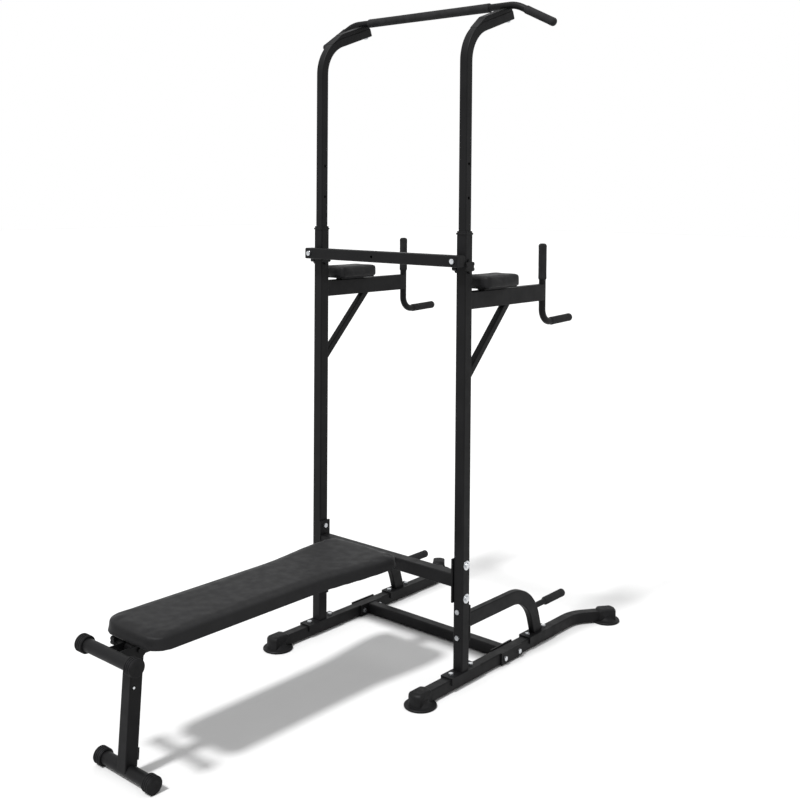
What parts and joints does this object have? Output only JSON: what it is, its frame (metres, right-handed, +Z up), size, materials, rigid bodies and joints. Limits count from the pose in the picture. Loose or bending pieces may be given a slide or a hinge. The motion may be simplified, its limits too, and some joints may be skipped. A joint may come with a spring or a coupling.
{
  "type": "power tower",
  "caption": "Black steel power tower with a height-adjustable pull-up bar, dip arms with forearm pads, push-up grips and a fold-up sit-up bench on its own folding leg",
  "frame": {"origin": "on the floor, at the middle of the whole footprint", "axes": "+X along the tower's width, +Y from the bench towards the dip arms, +Z up"},
  "size_m": [1.1106, 2.0638, 2.3434],
  "materials": {
    "coated_steel": "satin black powder coat",
    "rubber_feet": "moulded black rubber",
    "foam_grips": "fine-pored black foam",
    "pad_cover": "black grained synthetic leather",
    "black_plastic": "moulded black plastic",
    "zinc_bolts": "bright zinc-plated steel"
  },
  "bodies": {
    "frame": {"rail_left": "coated_steel", "rail_right": "coated_steel", "foot_front_left": "rubber_feet", "foot_front_right": "rubber_feet", "foot_rear_left": "rubber_feet", "foot_rear_right": "rubber_feet", "floor_crossbar": "coated_steel", "backing_plates": "coated_steel", "upright_left": "coated_steel", "upright_right": "coated_steel", "sleeve_left": "black_plastic", "sleeve_right": "black_plastic", "bench_beam": "coated_steel", "push_brace_left": "coated_steel", "push_brace_right": "coated_steel", "push_grip_left": "foam_grips", "push_grip_right": "foam_grips", "crossbar": "coated_steel", "crossbar_caps": "black_plastic", "dip_arm_left": "coated_steel", "dip_arm_right": "coated_steel", "dip_brace_left": "coated_steel", "dip_brace_right": "coated_steel", "dip_handle_left": "coated_steel", "dip_handle_right": "coated_steel", "dip_grip_left": "foam_grips", "dip_grip_right": "foam_grips", "lower_grip_left": "foam_grips", "lower_grip_right": "foam_grips", "arm_pad_left": "pad_cover", "arm_pad_right": "pad_cover", "pad_mount_left": "coated_steel", "pad_mount_right": "coated_steel", "lock_heads": "black_plastic", "base_bolts": "zinc_bolts", "tower_bolts": "zinc_bolts"},
    "top": {"mast_left": "coated_steel", "mast_right": "coated_steel", "mast_caps": "black_plastic", "bar_saddles": "coated_steel", "pull_bar": "coated_steel", "bar_foam": "foam_grips", "end_grip_left": "foam_grips", "end_grip_right": "foam_grips", "bar_bolts": "zinc_bolts"},
    "knob_left": {"height_knob_left": "black_plastic"},
    "knob_right": {"height_knob_right": "black_plastic"},
    "bench": {"bench_frame": "coated_steel", "bench_cheeks": "coated_steel", "bench_board": "black_plastic", "bench_pad": "pad_cover", "foot_tube": "coated_steel", "foot_tube_caps": "rubber_feet", "bench_pins": "coated_steel"},
    "leg": {"leg_button": "zinc_bolts", "leg_post": "coated_steel", "leg_tube": "coated_steel", "leg_caps": "rubber_feet"},
    "leg_knob_body": {"leg_knob": "black_plastic"}
  },
  "joints": [
    {"name": "top_height", "type": "slide", "parent": "frame", "child": "top", "axis": [0, 0, 1], "range_m": [-0.345, 0]},
    {"name": "knob_left_turn", "type": "hinge", "parent": "frame", "child": "knob_left", "pos_m": [-0.36, 0.15914, 1.424], "axis": [1, 0, 0], "continuous": true},
    {"name": "knob_right_turn", "type": "hinge", "parent": "frame", "child": "knob_right", "pos_m": [0.32, 0.15914, 1.424], "axis": [1, 0, 0], "continuous": true},
    {"name": "bench_lift", "type": "hinge", "parent": "frame", "child": "bench", "pos_m": [0, 0.10914, 0.369], "axis": [-1, 0, 0], "range_deg": [0, 70]},
    {"name": "leg_fold", "type": "hinge", "parent": "bench", "child": "leg", "pos_m": [0, -0.92186, 0.369], "axis": [1, 0, 0], "range_deg": [0, 70]},
    {"name": "leg_knob_turn", "type": "hinge", "parent": "bench", "child": "leg_knob_body", "pos_m": [-0.0268, -0.92186, 0.369], "axis": [1, 0, 0], "continuous": true}
  ]
}
